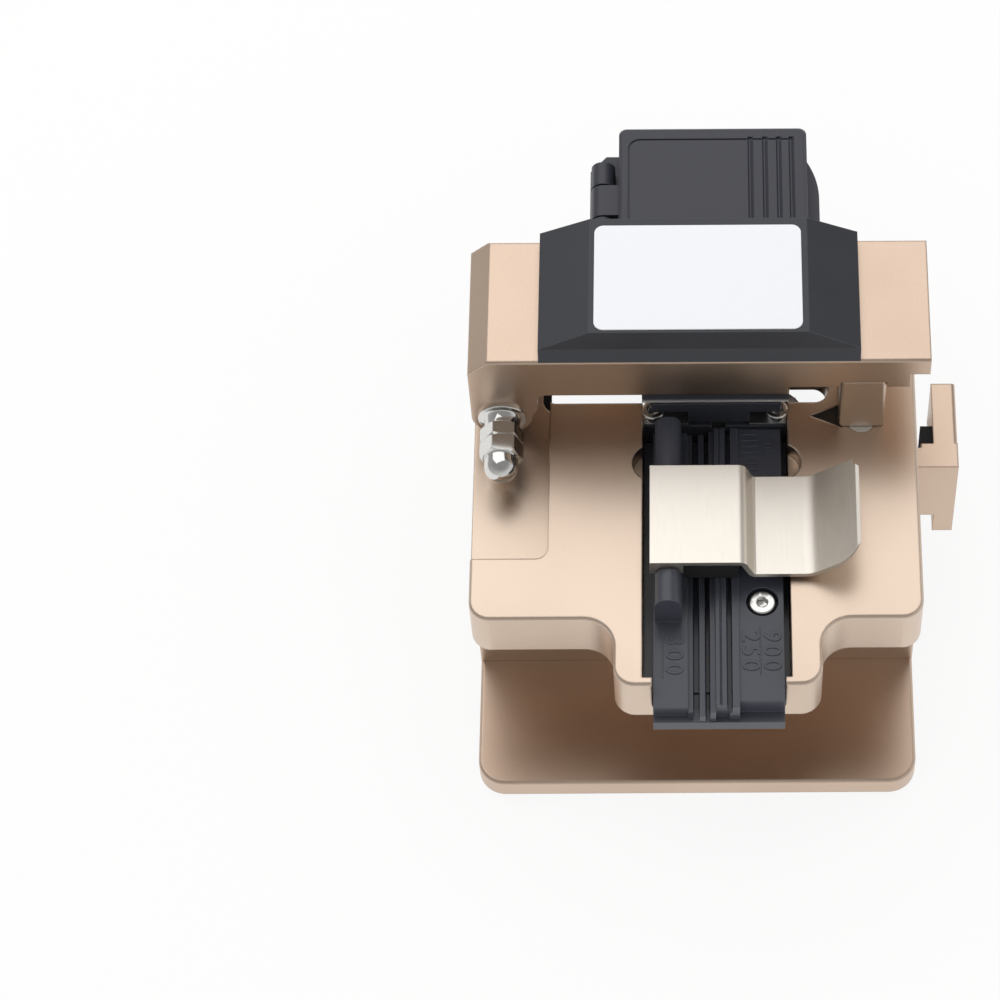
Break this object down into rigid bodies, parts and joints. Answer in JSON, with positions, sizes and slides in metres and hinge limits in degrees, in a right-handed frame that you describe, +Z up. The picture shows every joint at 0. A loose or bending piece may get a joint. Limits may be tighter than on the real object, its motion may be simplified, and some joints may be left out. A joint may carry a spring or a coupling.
{
  "type": "fibre cleaver",
  "caption": "Benchtop optical fibre cleaver with a hinged clamp arm, sliding blade wheel, fibre rail with holder lid, and a rear offcut collector",
  "frame": {"origin": "middle of the rubber pad's underside", "axes": "+Z up; +Y from the fibre rail's front towards the offcut collector, along the fibre; +X from the arm's hinge towards the slide handle"},
  "size_m": [0.0707, 0.099, 0.0575],
  "materials": {
    "gold_anodised": "fine bead-blasted, champagne-gold anodised",
    "silver_anodised": "clear anodised",
    "black_plastic": "moulded, fine satin texture",
    "rail_plastic": "moulded, satin",
    "champagne_sheet": "satin plated sheet",
    "bright_steel": "nickel plated",
    "steel": "ground steel",
    "magnet": "nickel plated magnet",
    "bronze": "sintered bronze",
    "rubber": "moulded rubber",
    "label": "plain white plate",
    "carbide": "ground carbide"
  },
  "bodies": {
    "frame": {"base_plate": "gold_anodised", "base_pad": "rubber", "base_screws": "bright_steel", "deck_frame": "gold_anodised", "hinge_bushes": "bronze", "deck_disc": "steel", "fibre_rail": "rail_plastic", "rail_magnet": "magnet", "lid_hinge_pin": "steel", "frame_screws": "bright_steel", "lower_clamps": "black_plastic", "lower_pads": "rubber", "clamp_plates": "steel", "clamp_screws": "bright_steel", "guide_rail": "steel", "guide_bumpers": "rubber", "collector_bin": "black_plastic", "collector_lid_pin": "steel"},
    "holder_lid": {"holder_lid": "champagne_sheet", "lid_pad": "rubber", "lid_disc": "steel"},
    "arm": {"arm": "gold_anodised", "arm_foot": "gold_anodised", "foot_magnet": "magnet", "foot_screw": "bright_steel", "hinge_shaft": "steel", "hinge_washer": "bright_steel", "lock_nut": "bright_steel", "dome_nut": "bright_steel", "arm_cap": "black_plastic", "cap_screws": "bright_steel", "label_plate": "label", "clamp_carrier": "black_plastic", "carrier_plate": "steel", "arm_screws": "bright_steel", "spring_plate": "silver_anodised"},
    "upper_clamp": {"upper_clamp": "black_plastic", "upper_pads": "rubber", "clamp_springs": "steel"},
    "anvil": {"anvil": "steel", "anvil_spring": "steel"},
    "slide": {"guide_block": "steel", "carriage": "silver_anodised", "carriage_screws": "bright_steel", "blade_bracket": "silver_anodised", "bracket_pivot_pin": "steel", "height_screw": "bright_steel", "blade_shaft": "steel", "blade_washer": "steel", "blade_screw": "bright_steel", "slide_handle": "gold_anodised", "handle_bumper": "rubber"},
    "blade": {"blade_wheel": "carbide", "blade_hub": "steel"},
    "collector_lid": {"collector_lid": "black_plastic"},
    "drive_roller": {"drive_roller": "rubber", "drive_shaft": "steel", "roller_knob": "black_plastic"},
    "pinch_roller": {"pinch_roller": "rubber", "pinch_shaft": "steel"}
  },
  "joints": [
    {"name": "arm_hinge", "type": "hinge", "parent": "frame", "child": "arm", "pos_m": [-0.0277, 0.02085, 0.0377], "axis": [0, -1, 0], "range_deg": [0, 75]},
    {"name": "holder_lid_hinge", "type": "hinge", "parent": "frame", "child": "holder_lid", "pos_m": [-0.0039, -0.0068, 0.0364], "axis": [0, -1, 0], "range_deg": [0, 100]},
    {"name": "upper_clamp_travel", "type": "slide", "parent": "arm", "child": "upper_clamp", "axis": [0, 0, 1], "range_m": [0, 0.0008], "stiffness_N_per_m": 400, "deforming": ["clamp_springs"]},
    {"name": "anvil_travel", "type": "slide", "parent": "arm", "child": "anvil", "axis": [0, 0, 1], "range_m": [0, 0.001], "stiffness_N_per_m": 400, "deforming": ["anvil_spring"]},
    {"name": "blade_slide", "type": "slide", "parent": "frame", "child": "slide", "axis": [-1, 0, 0], "range_m": [0, 0.009]},
    {"name": "blade_index", "type": "hinge", "parent": "slide", "child": "blade", "pos_m": [0.0079, 0.0185, 0.02535], "axis": [0, 1, 0], "continuous": true},
    {"name": "collector_lid_hinge", "type": "hinge", "parent": "frame", "child": "collector_lid", "pos_m": [-0.0137, 0.0513, 0.0319], "axis": [0, -1, 0], "range_deg": [0, 105]},
    {"name": "drive_roller_spin", "type": "hinge", "parent": "frame", "child": "drive_roller", "pos_m": [0.003, 0.0365, 0.03077], "axis": [1, 0, 0], "continuous": true},
    {"name": "pinch_roller_spin", "type": "hinge", "parent": "frame", "child": "pinch_roller", "pos_m": [0.003, 0.0365, 0.03593], "axis": [1, 0, 0], "continuous": true}
  ]
}
